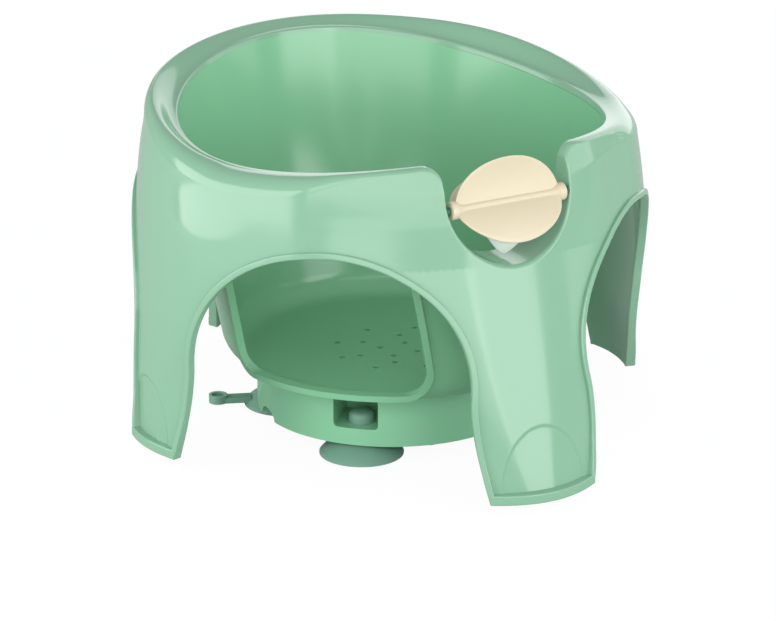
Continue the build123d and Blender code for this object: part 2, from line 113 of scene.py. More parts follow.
@dataclass(frozen=True)
class MouldedPlastic:
    """Injection-moulded plastic: a smooth polished tool leaves a soft shine and a faint ripple."""

    name: str
    colour: str
    roughness: float = 0.3
    subsurface: float = 0.0
    ripple_mm: float = 9.0
    ripple_depth_mm: float = 0.002
    transmission: float = 0.0
    ior: float = 1.5
    glow_depth_mm: float = 3.0
    glow_tint: tuple[float, float, float] = (0.6, 1.0, 0.7)
    patch_mm: float = 45.0
    brighter: float = 0.04
    duller: float = 0.06

    def material(self) -> bpy.types.Material:
        """Build the material.

        Returns:
            The node material, with no texture files.
        """
        made = bpy.data.materials.new(self.name)
        made.use_nodes = True
        tree = made.node_tree
        shader = tree.nodes["Principled BSDF"]
        shader.inputs["Base Color"].default_value = linear(self.colour)
        shader.inputs["IOR"].default_value = self.ior
        shader.inputs["Subsurface Weight"].default_value = self.subsurface
        shader.inputs["Subsurface Radius"].default_value = self.glow_tint
        shader.inputs["Subsurface Scale"].default_value = self.glow_depth_mm * MM
        shader.inputs["Transmission Weight"].default_value = self.transmission
        place = add_node(tree, "ShaderNodeTexCoord")
        ripple = add_node(
            tree, "ShaderNodeTexNoise",
            {"Scale": 1 / (self.ripple_mm * MM), "Detail": 2.0, "Roughness": 0.45},
            {"Vector": place.outputs["Object"]},
        )
        cloud = add_node(
            tree, "ShaderNodeTexNoise",
            {"Scale": 1 / (self.patch_mm * MM), "Detail": 3.0, "Roughness": 0.5},
            {"Vector": place.outputs["Object"]},
        )
        # Handling and drying water leave some areas a little duller than others
        dull = add_node(
            tree, "ShaderNodeMapRange",
            {"To Min": self.roughness - self.brighter, "To Max": self.roughness + self.duller},
            {"Value": cloud.outputs["Fac"]},
        )
        tree.links.new(dull.outputs["Result"], shader.inputs["Roughness"])
        bump = add_node(
            tree, "ShaderNodeBump",
            {"Strength": 1.0, "Distance": self.ripple_depth_mm * MM},
            {"Height": ripple.outputs["Fac"]},
        )
        tree.links.new(bump.outputs["Normal"], shader.inputs["Normal"])
        return made


@dataclass(frozen=True)
class Metal:
    """Plain drawn steel: bright, with a fine haze from drawing."""

    name: str
    colour: str
    roughness: float = 0.3
    grain_mm: float = 0.8
    haze: float = 0.08

    def material(self) -> bpy.types.Material:
        """Build the material.

        Returns:
            The node material.
        """
        made = bpy.data.materials.new(self.name)
        made.use_nodes = True
        tree = made.node_tree
        shader = tree.nodes["Principled BSDF"]
        shader.inputs["Base Color"].default_value = linear(self.colour)
        shader.inputs["Metallic"].default_value = 1.0
        place = add_node(tree, "ShaderNodeTexCoord")
        grain = add_node(
            tree, "ShaderNodeTexNoise", {"Scale": 1 / (self.grain_mm * MM), "Detail": 2.0},
            {"Vector": place.outputs["Object"]},
        )
        spread = add_node(
            tree, "ShaderNodeMapRange",
            {"To Min": self.roughness - self.haze, "To Max": self.roughness + self.haze},
            {"Value": grain.outputs["Fac"]},
        )
        tree.links.new(spread.outputs["Result"], shader.inputs["Roughness"])
        return made


# Grey-green polypropylene from a polished tool: the eye sees long clear reflections on the shell,
# and softer ones on the bucket and the drum, whose tools are plainer
SAGE_SHELL = MouldedPlastic("sage_polypropylene_shell", "#80AB8F", 0.12)
# Painted light and shade: the bucket is the same plastic as the shell, but its green is brighter and
# more saturated, to stand in for how light falls inside the seat
SAGE_BUCKET_PAINTED_LIGHT = MouldedPlastic("sage_bucket_painted_light", "#7CB78F", 0.18)
# Painted light: the drum is the same plastic as the shell, but its green is brighter and more
# saturated, to stand in for the light that reaches it under the seat
SAGE_DRUM_PAINTED_LIGHT = MouldedPlastic("sage_drum_painted_light", "#86C29B", 0.22)
# Soft rubber for suction, grey-green and cloudy; light gets a little way in
CUP_RUBBER = MouldedPlastic(
    "cloudy_suction_rubber", "#86B3A0", 0.38, subsurface=0.35, transmission=0.25, ior=1.43
)
# Moulded ABS for the toy: a satin face without clear reflections, cream or a cool white
CREAM_TOY = MouldedPlastic("cream_toy_plastic", "#CFC3A8", 0.42, ripple_mm=4.0)
WHITE_TOY = MouldedPlastic("white_toy_plastic", "#E6ECE8", 0.34, ripple_mm=4.0)
# Dark green rings between the hubs and the notch's cheeks, dull beside the shiny shell
DARK_BUSH = MouldedPlastic("dark_green_bush", "#2E5B47", 0.5, ripple_mm=2.0)
# Drawn steel for the pin and the screws: bright, with a fine haze
STEEL = Metal("drawn_steel", "#C9CBCB", 0.28)


def eased(points: Profile, at: float) -> float:
    """Read a smooth line through (place, value) points, level beyond its ends.

    Args:
        points: The points, in rising order of place.
        at: The place to read.

    Returns:
        The value there, on a cubic through the points.
    """
    if at <= points[0][0]:
        return points[0][1]
    if at >= points[-1][0]:
        return points[-1][1]
    slopes = [0.0] * len(points)
    for i in range(1, len(points) - 1):
        slopes[i] = (points[i + 1][1] - points[i - 1][1]) / (points[i + 1][0] - points[i - 1][0])
    for i, ((low, low_value), (high, high_value)) in enumerate(zip(points, points[1:])):
        if at <= high:
            break
    span = high - low
    t = (at - low) / span
    rise = (3 - 2 * t) * t * t
    value = low_value + (high_value - low_value) * rise
    value += span * slopes[i] * t * (1 - t) ** 2
    return value - span * slopes[i + 1] * t * t * (1 - t)


def step_up(low: float, high: float, at: float) -> float:
    """Return 0 below low and 1 above high, with a smooth change between."""
    t = min(1.0, max(0.0, (at - low) / (high - low)))
    return t * t * (3 - 2 * t)


class Skin:
    """A mesh that grows sheet by sheet and carries its own exact normals."""

    def __init__(self) -> None:
        """Start with no points."""
        self.points: list[Vector] = []
        self.normals: list[Vector] = []
        self.faces: list[tuple[int, ...]] = []
        self.known: dict[tuple[int, int, int], int] = {}

    def add_point(self, point: Vector, normal: Vector, weld: bool = True) -> int:
        """Add a point in millimetres, or find it where a sheet already has it.

        Args:
            point: The place of the point.
            normal: The surface's direction there.
            weld: Whether to share a point that is already there.

        Returns:
            The index of the point.
        """
        key = tuple(round(value * 500) for value in point)
        if weld and key in self.known:
            return self.known[key]
        self.points.append(point)
        self.normals.append(normal)
        if weld:
            self.known[key] = len(self.points) - 1
        return len(self.points) - 1

    def add_strip(
        self, rows: list[list[Vector]], closed: bool, first: list[int] | None = None,
        flip: bool = False,
    ) -> None:
        """Add a grid of quads with smooth normals.

        Args:
            rows: Lines of points; each one crosses the strip.
            closed: Whether the last row meets the first.
            first: Indices of points that the rows start from, where a sheet has them.
            flip: Whether the strip faces the other way.
        """
        count, width = len(rows), len(rows[0])
        grid: list[list[int]] = []
        for i, row in enumerate(rows):
            before = rows[i - 1] if i or closed else row
            after = rows[(i + 1) % count] if i + 1 < count or closed else row
            line = []
            for j, point in enumerate(row):
                if first is not None and j == 0:
                    line.append(first[i])
                    continue
                along = after[j] - before[j]
                across = row[min(j + 1, width - 1)] - row[max(j - 1, 0)]
                normal = along.cross(across).normalized()
                line.append(self.add_point(point, -normal if flip else normal, weld=False))
            grid.append(line)
        for i in range(count if closed else count - 1):
            near, far = grid[i], grid[(i + 1) % count]
            for j in range(width - 1):
                face = (near[j], far[j], far[j + 1], near[j + 1])
                self.faces.append(face[::-1] if flip else face)

    def add_tube(
        self, spines: list[tuple[Vector, Vector, Vector]], outlines: list[Outline]
    ) -> None:
        """Sweep a closed outline along a line of frames and cap both ends.

        Args:
            spines: A point and the two directions of its outline, for each place.
            outlines: The outline there, as (first, second) distances.
        """
        rings = []
        for (place, first, second), outline in zip(spines, outlines):
            rings.append([place + first * a + second * b for a, b in outline])
        count = len(rings[0])
        base = []
        for i, ring in enumerate(rings):
            before, after = rings[max(i - 1, 0)], rings[min(i + 1, len(rings) - 1)]
            line = []
            for j, point in enumerate(ring):
                along = after[j] - before[j]
                across = ring[(j + 1) % count] - ring[j - 1]
                line.append(self.add_point(point, across.cross(along).normalized(), weld=False))
            base.append(line)
        for near, far in zip(base, base[1:]):
            for j in range(count):
                k = (j + 1) % count
                self.faces.append((near[j], near[k], far[k], far[j]))
        for ring, line, sign in ((rings[0], 0, -1), (rings[-1], -1, 1)):
            other = rings[1] if sign < 0 else rings[-2]
            out = (ring[0] - other[0]).normalized()
            cap = [self.add_point(point, out, weld=False) for point in ring]
            self.faces.append(tuple(cap[::-1]) if sign < 0 else tuple(cap))

    def make(self, name: str, finish: bpy.types.Material, body: Part) -> bpy.types.Object:
        """Turn the points into an object that rides on a body.

        Args:
            name: The object's name.
            finish: Its material.
            body: The body that carries it.

        Returns:
            The new object.
        """
        mesh = bpy.data.meshes.new(name)
        mesh.from_pydata([point * MM for point in self.points], [], self.faces)
        mesh.materials.append(finish)
        mesh.polygons.foreach_set("use_smooth", [True] * len(mesh.polygons))
        mesh.normals_split_custom_set_from_vertices(self.normals)
        made = bpy.data.objects.new(name, mesh)
        bpy.context.collection.objects.link(made)
        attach(made, body.value)
        LOG.info("%s: %d points", name, len(self.points))
        return made


@dataclass
class Shell:
    """The one-piece ring and legs: skirt, rolled rim, notch, arches with beads, and feet."""

    # The plain ring: its foot, wall and outside, and how it flares down and closes in at its top
    gap: float = 8.4
    wall: float = 3.0
    ring: float = 151.0
    edge_z: float = 193.0
    flare: float = 7.0
    flare_length: float = 34.0
    closing: float = 5.5
    ridge_z: float = 218.0
    # Back and side legs, each as azimuth, reach at the foot and spread in degrees
    legs: tuple[tuple[float, float, float], ...] = (
        (180.0, 184.0, 21.0), (94.0, 166.8, 16.0), (-94.0, 166.8, 16.0)
    )
    leg_start: float = 166.0
    leg_soft: float = 0.01
    leg_scale: float = 2.005
    turn_out: float = 3.2
    turn_azimuth: float = 78.0
    turn_spread: float = 10.0
    turn_grows: tuple[float, float] = (40.0, 100.0)
    turn_fades: tuple[float, float] = (148.0, 182.0)
    # The front leg and the flat panel over it
    front_top: float = 150.0
    front_reach: float = 189.0
    front_spread: float = 20.0
    front_spread_top: float = 58.0
    front_line: Profile = ((145, 150.5), (170, 146), (190, 142), (206, 134))
    panel_starts: tuple[float, float] = (22.0, 37.0)
    corner: float = 50.0
    corner_dip: float = 3.4
    dip_grows: tuple[float, float] = (118.0, 178.0)
    # Arches between the legs, the bead round them and the lip along the feet
    arch_azimuths: tuple[float, ...] = (-135.0, -45.0, 45.0, 135.0)
    arch_foot: float = 100.5
    arch_foot_front: float = 104.2
    arch_half: float = 88.2
    arch_half_side: float = 86.2
    arch_z: float = 70.0
    arch_height: float = 81.5
    bead: float = 3.9
    bead_proud: float = 2.3
    bead_cover: float = 1.6
    bead_sunk: float = 0.3
    lip: float = 6.2
    lip_proud: float = 3.4
    lip_fades_z: float = 28.0
    # Arched recesses over the feet
    feet_azimuths: tuple[float, ...] = (0.0, 94.0, 180.0, -94.0)
    foot_reach: float = 170.0
    recess_half: float = 26.0
    recess_height: float = 36.0
    recess_depth: float = 1.1
    # The notch for the roller
    notch_radius: float = 42.0
    notch_z: float = 185.0
    notch_mouth: float = 22.0
    notch_round: float = 8.0
    notch_edge: float = 1.3
    notch_edge_low: float = 1.1
    notch_lip: float = 1.2
    # The rim's inner edge: its height, and how it climbs to the back
    crease_z: float = 191.7
    crease_slope: float = 4.5
    crease_bend: float = 18.2
    crease_reach: float = 130.0
    crease_shift: float = 2.0
    rim_lip: float = 1.5
    rim_lip_up: float = 0.3
    # The inside of the bucket's wall, and how far the shell laps into it
    bowl_radius: float = 101.0
    bowl_taper: float = 0.198
    bowl_z: float = 50.7
    lap: float = 3.1
    # Screw bosses under the rim
    boss_azimuths: tuple[float, ...] = (45.0, 135.0, 225.0, 315.0)
    boss_reach: float = 138.0
    boss_profile: Profile = ((1.8, 192), (1.8, 180.4), (2.1, 180.1), (3.7, 180.1), (4.0, 180.4),
                             (4.0, 192))
    # Point spacing on the skirt laid flat, where one degree is drawn as 2.7 mm
    spacing: float = 2.6
    fine_spacing: float = 1.0
    fine_z: float = 56.0
    flat_scale: float = 2.7
    flat_height: float = 214.0
    sheet_rise: float = 2.0
    back_steps: int = 90
    # Outer edge of the rim's flat part, over the inside wall, by azimuth
    ledge: Profile = ((0, 2.3), (22, 2.5), (31, 3.6), (40, 5.2), (48, 7.0), (58, 8.0), (75, 9.5),
                      (90, 12.5), (105, 14.5), (125, 15.6), (180, 14.4))
    # Height of the rim's ridge over its inner edge, by azimuth
    rise: Profile = ((0, 0.3), (50, 0.4), (66, 0.7), (74.5, 1.3), (80, 2.8), (87.5, 4.5), (100, 7.5),
                     (113, 9.4), (124, 9.7), (135, 8.5), (145, 6.7), (155, 5.3), (166, 4.4),
                     (180, 4.0))
    # Height of the rolled shoulder outside the ridge, by azimuth
    drop: Profile = ((0, 2.3), (22, 2.5), (31, 3.0), (40, 4.4), (47, 8.0), (54, 12.0), (75, 13.0),
                     (90, 12.0), (105, 10.0), (125, 8.0), (180, 7.0))

    def ring_radius(self, z: float) -> float:
        """Return the outside of the plain ring at one height, without legs.

        Args:
            z: The height in millimetres.

        Returns:
            The radius in millimetres.
        """
        if z > self.edge_z:
            climb = (z - self.edge_z) / (self.ridge_z - self.edge_z)
            return self.ring - self.closing * climb ** 2
        return self.ring + self.flare * (1 - math.exp((z - self.edge_z) / self.flare_length))

    def leg_share(self, z: float) -> float:
        """Return how much of a leg's reach shows at one height, with a soft start at its top."""
        t = (self.leg_start - z) / (self.leg_start - self.gap)
        return (t + math.sqrt(t * t + self.leg_soft)) / self.leg_scale

    def front_at(self, z: float) -> float:
        """Return the outside of the front panel at its middle.

        Args:
            z: The height in millimetres.

        Returns:
            Its distance from the seat's middle.
        """
        points = ((self.gap, self.front_reach),) + self.front_line
        for (low, low_value), (high, high_value) in zip(points, points[1:]):
            if z <= high:
                break
        return low_value + (high_value - low_value) * (z - low) / (high - low)

    def radius(self, azimuth: float, z: float) -> float:
        """Return the outside of the skirt with its legs, before the recesses.

        Args:
            azimuth: Degrees round from the front.
            z: The height in millimetres.

        Returns:
            The radius in millimetres.
        """
        radius = self.ring_radius(z)
        foot = self.ring_radius(self.gap)
        down = max(0.0, (self.front_top - z) / (self.front_top - self.gap))
        for centre, reach, spread in self.legs:
            away = (azimuth - centre + 180) % 360 - 180
            radius += self.leg_share(z) * (reach - foot) * math.exp(-((away / spread) ** 2))
        away = abs((azimuth + 180) % 360 - 180)
        # The side legs turn out a little along their front edges
        turned = math.exp(-(((away - self.turn_azimuth) / self.turn_spread) ** 2))
        shown = step_up(*self.turn_grows, z) * (1 - step_up(*self.turn_fades, z))
        radius += self.turn_out * turned * shown
        spread = self.front_spread + (1 - down) * (self.front_spread_top - self.front_spread)
        radius += (self.front_at(z) - self.ring_radius(z)) * math.exp(-((away / spread) ** 2))
        # The front panel is flatter than the ring and ends in a soft upright corner
        panel = step_up(*self.panel_starts, away)
        panel *= 1 - step_up(self.corner - 9, self.corner + 1, away)
        return radius - self.corner_dip * panel * step_up(*self.dip_grows, z)

    def recess(self, azimuth: float, z: float) -> float:
        """Return how deep the arched recess over a foot is at one place.

        Args:
            azimuth: Degrees round from the front.
            z: The height in millimetres.

        Returns:
            The depth in millimetres.
        """
        deep = 0.0
        for centre in self.feet_azimuths:
            away = math.radians((azimuth - centre + 180) % 360 - 180)
            across = self.foot_reach * away / self.recess_half
            up = (z - self.gap - self.lip) / self.recess_height
            inside = 1 - math.sqrt(across * across + max(up, 0.0) ** 2)
            deep = max(deep, self.recess_depth * step_up(-0.03, 0.03, inside))
        return deep

    def at(self, azimuth: float, z: float, inset: float = 0.0) -> Vector:
        """Return a point of the skirt's outside, or of its inside with an inset.

        Args:
            azimuth: Degrees round from the front.
            z: The height in millimetres.
            inset: How far inside the outer face.

        Returns:
            The point in millimetres.
        """
        out = self.radius(azimuth, z) - inset
        if not inset:
            out -= self.recess(azimuth, z)
        angle = math.radians(azimuth)
        return Vector((out * math.sin(angle), -out * math.cos(angle), z))

    def normal(self, azimuth: float, z: float, inset: float = 0.0) -> Vector:
        """Return the outward direction of the skirt at one place.

        Args:
            azimuth: Degrees round from the front.
            z: The height in millimetres.
            inset: How far inside the outer face.

        Returns:
            The direction, one long.
        """
        across = self.at(azimuth + 0.15, z, inset) - self.at(azimuth - 0.15, z, inset)
        up = self.at(azimuth, z + 0.4, inset) - self.at(azimuth, z - 0.4, inset)
        return across.cross(up).normalized()

    def crease(self, azimuth: float) -> float:
        """Return the height of the rim's inner edge.

        Args:
            azimuth: Degrees round from the front.

        Returns:
            The height in millimetres.
        """
        back = -self.crease_reach * math.cos(math.radians(azimuth))
        along = (back - self.crease_shift) / self.crease_reach
        return self.crease_z + self.crease_slope * along + self.crease_bend * along ** 2

    def bowl(self, z: float) -> float:
        """Return the inside of the bucket's wall at one height."""
        return self.bowl_radius + self.bowl_taper * (z - self.bowl_z)

    def rim_line(self, azimuth: float) -> list[Vector]:
        """Return one line of points over the rim, from the skirt to the bucket.

        Args:
            azimuth: Degrees round from the front.

        Returns:
            The points in millimetres, outermost first.
        """
        turn = abs((azimuth + 180) % 360 - 180)
        inner_z = self.crease(azimuth)
        inner = self.bowl(inner_z)
        top = inner + eased(self.ledge, turn)
        top_z = inner_z + eased(self.rise, turn)
        low_z = top_z - eased(self.drop, turn)
        outer = self.radius(azimuth, low_z)
        line = []
        for step in range(11):
            angle = math.radians(9 * step)
            line.append((top + (outer - top) * math.cos(angle),
                         low_z + (top_z - low_z) * math.sin(angle)))
        lip = self.rim_lip
        lip_z = inner_z + self.rim_lip_up
        for step in range(1, 9):
            t = step / 8
            fall = (1 - t) ** 2.2 * (1 + 2.2 * t)
            line.append((top + (inner + lip - top) * t, lip_z + (top_z - lip_z) * fall))
        for step in range(1, 7):
            angle = math.radians(15 * step)
            line.append((inner + lip * (1 - math.sin(angle)), lip_z - lip * (1 - math.cos(angle))))
        line.append((self.bowl(inner_z - self.lap), inner_z - self.lap))
        turned = math.radians(azimuth)
        return [Vector((r * math.sin(turned), -r * math.cos(turned), z)) for r, z in line]

    def notch_line(self, x: float, z: float, nx: float, nz: float) -> list[Vector]:
        """Return one line of points through the notch's face, from the skirt to the bucket.

        Args:
            x: Place on the notch's outline, across.
            z: Place on the notch's outline, up.
            nx: Direction into the open notch, across.
            nz: Direction into the open notch, up.

        Returns:
            The points in millimetres, outermost first.
        """
        line = []
        edge = self.notch_edge + self.notch_edge_low * abs(nz)
        for step in range(11):
            angle = math.radians(9 * step)
            back = edge * (1 - math.sin(angle))
            px, pz = x - nx * back, z - nz * back
            line.append(Vector((px, self.front_y(px, pz) + edge * (1 - math.cos(angle)), pz)))
        lip = self.notch_lip
        start = line[-1].y
        end = -math.sqrt(max(self.bowl(z) ** 2 - x * x, 0.0)) - lip
        for step in range(1, 9):
            line.append(Vector((x, start + (end - start) * step / 8, z)))
        for step in range(1, 7):
            angle = math.radians(15 * step)
            back = lip * (1 - math.cos(angle))
            line.append(Vector((x - nx * back, end + lip * math.sin(angle), z - nz * back)))
        px, pz = x - nx * self.lap, z - nz * self.lap
        line.append(Vector((px, -math.sqrt(max(self.bowl(pz) ** 2 - px * px, 0.0)), pz)))
        return line

    def front_y(self, x: float, z: float) -> float:
        """Return where the skirt's outside is along the seat, at a place across and up.

        Args:
            x: The place across, in millimetres.
            z: The height in millimetres.

        Returns:
            The place along the seat, in millimetres.
        """
        azimuth = 0.0
        for _ in range(8):
            azimuth = math.degrees(math.asin(x / self.radius(azimuth, z)))
        return -math.sqrt(self.radius(azimuth, z) ** 2 - x * x)

    def notch_outline(self) -> list[tuple[float, float, float, float]]:
        """Return the notch's outline from its left mouth to its right one.

        Returns:
            Places and directions into the open notch, as (x, z, nx, nz).
        """
        r, soft = self.notch_radius, self.notch_round
        mouth_z = self.crease(self.notch_mouth)
        half = []
        for step in range(9):
            angle = math.radians(90 * step / 8)
            half.append((r + soft - soft * math.sin(angle), mouth_z - soft + soft * math.cos(angle),
                         -math.sin(angle), math.cos(angle)))
        for step in range(1, 5):
            z = mouth_z - soft - (mouth_z - soft - self.notch_z) * step / 4
            half.append((r, z, -1.0, 0.0))
        for step in range(1, 31):
            angle = math.radians(3 * step)
            half.append((r * math.cos(angle), self.notch_z - r * math.sin(angle),
                         -math.cos(angle), math.sin(angle)))
        left = [(-x, z, -nx, nz) for x, z, nx, nz in half]
        return left + half[-2::-1]

    def top_lines(self) -> list[list[Vector]]:
        """Return the lines over the whole rim and notch, from the back round by the left.

        Returns:
            The lines, each from the skirt to the bucket.
        """
        notch = self.notch_outline()
        # The rim starts where the notch's mouth ends, a little less so that they meet without a gap
        start = math.degrees(math.asin(notch[-1][0] / 133.0)) - 0.6
        count = 128
        rim = [start + (180 - start) * step / count for step in range(1, count + 1)]
        right = [self.rim_line(azimuth) for azimuth in rim]
        left = [self.rim_line(-azimuth) for azimuth in rim[:-1]]
        middle = [self.notch_line(*place) for place in notch]
        return left[::-1] + middle + right

    def arch_outline(self, centre: float, grow: float, low: float) -> list[tuple[float, float]]:
        """Return one arch's outline as (across, up), from its left foot to its right one.

        Args:
            centre: The azimuth that the arch faces.
            grow: How far outside the arch's own edge.
            low: The height at which it starts and ends.

        Returns:
            The points, about two millimetres apart.
        """
        # The front leg and the front edges of the side legs have their own widths
        front_left, front_right = self.arch_azimuths[1:3]
        left_half = (self.arch_half_side if centre == front_left else self.arch_half) + grow
        right_half = (self.arch_half_side if centre == front_right else self.arch_half) + grow
        left = self.arch_foot_front if centre == front_right else self.arch_foot
        right = self.arch_foot_front if centre == front_left else self.arch_foot
        sides = []
        for foot, half in ((left + grow, left_half), (right + grow, right_half)):
            side = []
            for step in range(30):
                z = low + (self.arch_z - low) * step / 30
                bow = (1 - z / self.arch_z) ** 1.5
                side.append((half + (foot - half) * bow, z))
            sides.append(side)
        crown = []
        steps = 112
        for step in range(steps + 1):
            angle = math.radians(180 - 180 * step / steps)
            up = (self.arch_height + grow) * math.sin(angle)
            half = right_half if 2 * step > steps else left_half
            crown.append((half * math.cos(angle), self.arch_z + up))
        return [(-s, z) for s, z in sides[0]] + crown + sides[1][::-1]

    def arch_azimuth(self, centre: float, across: float, z: float) -> float:
        """Return the azimuth at which an arch's outline crosses the skirt.

        Args:
            centre: The azimuth that the arch faces.
            across: The place across the arch.
            z: The height in millimetres.

        Returns:
            The azimuth in degrees.
        """
        azimuth = centre
        for _ in range(8):
            azimuth = centre + math.degrees(math.asin(across / self.radius(azimuth, z)))
        return azimuth

    def lower_edge(self, grow: float, low: float) -> list[tuple[float, float]]:
        """Return the skirt's lower edge over the arches and feet as (azimuth, height).

        Args:
            grow: How far outside the arches' own edges.
            low: The height over the feet.

        Returns:
            The points, from the back round by the left.
        """
        edge = []
        for centre in self.arch_azimuths:
            arch = [(self.arch_azimuth(centre, s, z), z)
                    for s, z in self.arch_outline(centre, grow, low)]
            last = edge[-1][0] if edge else -180.0
            count = max(2, int(arch[0][0] - last))
            for step in range(1 if edge else 0, count):
                edge.append((last + (arch[0][0] - last) * step / count, low))
            edge.extend(arch)
        last = edge[-1][0]
        count = max(2, int(180 - last))
        edge.extend((last + (180 - last) * step / count, low) for step in range(1, count + 1))
        return edge

    def sheet_border(self, starts: list[Vector]) -> tuple[list[Vector], range]:
        """Lay the skirt's outline flat, with azimuth across and height up.

        Args:
            starts: The rim lines' first points, from the back round by the left.

        Returns:
            The outline's points, and the range of those that are the top edge.
        """
        low = self.gap + self.sheet_rise
        lower = self.lower_edge(self.bead_cover, low)
        upper = [(math.degrees(math.atan2(point.x, -point.y)), point.z) for point in starts]
        back_z = upper[-1][1]
        upper = [(-180.0, back_z)] + upper[:-1] + [(180.0, back_z)]
        steps = self.back_steps
        seam = [low + (back_z - low) * step / steps for step in range(1, steps)]
        outline = lower + [(180.0, z) for z in seam] + upper[::-1]
        outline += [(-180.0, z) for z in seam[::-1]]
        first = len(lower) + len(seam)
        border = [Vector((azimuth * self.flat_scale, z)) for azimuth, z in outline]
        return border, range(first, first + len(upper))

    def sheet_grid(self, border: list[Vector], inset: float) -> list[Vector]:
        """Fill a flat outline with points, closer together round the recesses over the feet.

        Args:
            border: The outline's points.
            inset: 0 for the outer face, which has the recesses.

        Returns:
            The points, none of them close to the outline.
        """
        tree = KDTree(len(border))
        for index, place in enumerate(border):
            tree.insert((place.x, place.y, 0), index)
        tree.balance()
        grids = [(self.spacing, 1.5, False)]
        if not inset:
            grids.append((self.fine_spacing, 0.8, True))
        scale = self.flat_scale
        filled = []
        for step, clear, fine in grids:
            for i in range(int(360 * scale / step)):
                azimuth = -180 + (i + 0.5) * step / scale
                for j in range(int(self.flat_height / step)):
                    z = self.gap + self.sheet_rise + (j + 0.5 * (i % 2)) * step
                    by_foot = not inset and z < self.fine_z and self.near_recess(azimuth)
                    if fine == by_foot and tree.find((azimuth * scale, z, 0))[2] > clear:
                        filled.append(Vector((azimuth * scale, z)))
        return filled

    def near_recess(self, azimuth: float) -> bool:
        """Tell whether an azimuth crosses a recess or the few millimetres beside it.

        Args:
            azimuth: Degrees round from the front.

        Returns:
            True over a foot.
        """
        for centre in self.feet_azimuths:
            away = abs(math.radians((azimuth - centre + 180) % 360 - 180)) * self.foot_reach
            if away < self.recess_half + 4:
                return True
        return False

    def add_sheet(self, skin: Skin, starts: list[Vector], inset: float) -> list[int]:
        """Add the skirt's outer or inner face between the lower edge and the rim.

        Args:
            skin: The mesh that grows.
            starts: The rim lines' first points, from the back round by the left.
            inset: 0 for the outer face, and the wall for the inner one.

        Returns:
            Indices of the points along the top edge.
        """
        border, top = self.sheet_border(starts)
        flat = border + self.sheet_grid(border, inset)
        made = delaunay_2d_cdt(flat, [], [list(range(len(border)))], 1, 1e-6, True)
        places, _, triangles, sources, _, origins = made
        # A triangle with no origin lies outside the outline, in an arch or over the rim
        faces = [face for face, origin in zip(triangles, origins) if origin]
        used = {index for face in faces for index in face}
        index_of: dict[int, int] = {}
        for index in used:
            azimuth, z = places[index].x / self.flat_scale, places[index].y
            normal = self.normal(azimuth, z, inset)
            point = self.at(azimuth, z, inset)
            index_of[index] = skin.add_point(point, -normal if inset else normal)
        for face in faces:
            corners = tuple(index_of[index] for index in face)
            if len(set(corners)) == 3:
                skin.faces.append(corners[::-1] if inset else corners)
        placed = {source: index_of[index] for index in used for source in sources[index]}
        return [placed[index] for index in top][::-1][1:]

    def frame_on(self, path: list[tuple[float, float]], index: int) -> tuple[Vector, Vector, Vector]:
        """Return a point of a line on the skirt, the way along the sheet and the way out of it.

        Args:
            path: The line as (azimuth, height).
            index: Which point of it.

        Returns:
            The point and the two directions.
        """
        azimuth, z = path[index]
        before, after = path[max(index - 1, 0)], path[min(index + 1, len(path) - 1)]
        place = self.bare(azimuth, z)
        along = (self.bare(*after) - self.bare(*before)).normalized()
        across = self.bare(azimuth + 0.2, z) - self.bare(azimuth - 0.2, z)
        up = self.bare(azimuth, z + 0.5) - self.bare(azimuth, z - 0.5)
        out = across.cross(up).normalized()
        side = out.cross(along).normalized()
        return place, side, out

    def bare(self, azimuth: float, z: float) -> Vector:
        """Return a point of the skirt's outside as if it had no recesses.

        Args:
            azimuth: Degrees round from the front.
            z: The height in millimetres.

        Returns:
            The point in millimetres.
        """
        out = self.radius(azimuth, z)
        angle = math.radians(azimuth)
        return Vector((out * math.sin(angle), -out * math.cos(angle), z))

    @staticmethod
    def soft_box(width: float, under: float, over: float, soft: float) -> Outline:
        """Return a rounded rectangle that stands across the wall.

        Args:
            width: Its width along the wall, from 0.
            under: How far it goes inside the outer face.
            over: How far it stands proud.
            soft: The radius of its corners.

        Returns:
            Points as (along the wall, outwards).
        """
        outline = []
        corners = ((soft, over - soft, 90), (soft, soft - under, 180),
                   (width - soft, soft - under, 270), (width - soft, over - soft, 0))
        for a, b, start in corners:
            for step in range(6):
                angle = math.radians(start + 18 * step)
                outline.append((a + soft * math.cos(angle), b + soft * math.sin(angle)))
        return outline

    def add_beads(self, skin: Skin) -> None:
        """Add the bead round each arch and the lip along each foot.

        Args:
            skin: The mesh that grows.
        """
        edges = []
        for centre in self.arch_azimuths:
            path = [(self.arch_azimuth(centre, s, z), z)
                    for s, z in self.arch_outline(centre, 0.0, self.gap)]
            spines = [self.frame_on(path, index) for index in range(len(path))]
            outlines = []
            for azimuth, z in path:
                low = 1 - step_up(self.gap + self.lip, self.gap + self.lip_fades_z, z)
                over = self.bead_proud + (self.lip_proud - self.bead_proud) * low
                outlines.append(self.soft_box(self.bead, self.wall + self.bead_sunk, over, 0.9))
            skin.add_tube(spines, outlines)
            edges.append((path[0][0], path[-1][0]))
        feet = [(edges[i][1], edges[i + 1][0]) for i in range(3)]
        feet.append((edges[3][1], edges[0][0] + 360))
        for start, end in feet:
            count = 48
            path = [(start + (end - start) * step / count, self.gap) for step in range(count + 1)]
            spines = [self.frame_on(path, index) for index in range(len(path))]
            spines = [(place, Vector((0, 0, 1)), Vector((out.x, out.y, 0)).normalized())
                      for place, _, out in spines]
            outline = self.soft_box(self.lip, self.wall + self.bead_sunk, self.lip_proud, 1.0)
            skin.add_tube(spines, [outline] * len(spines))

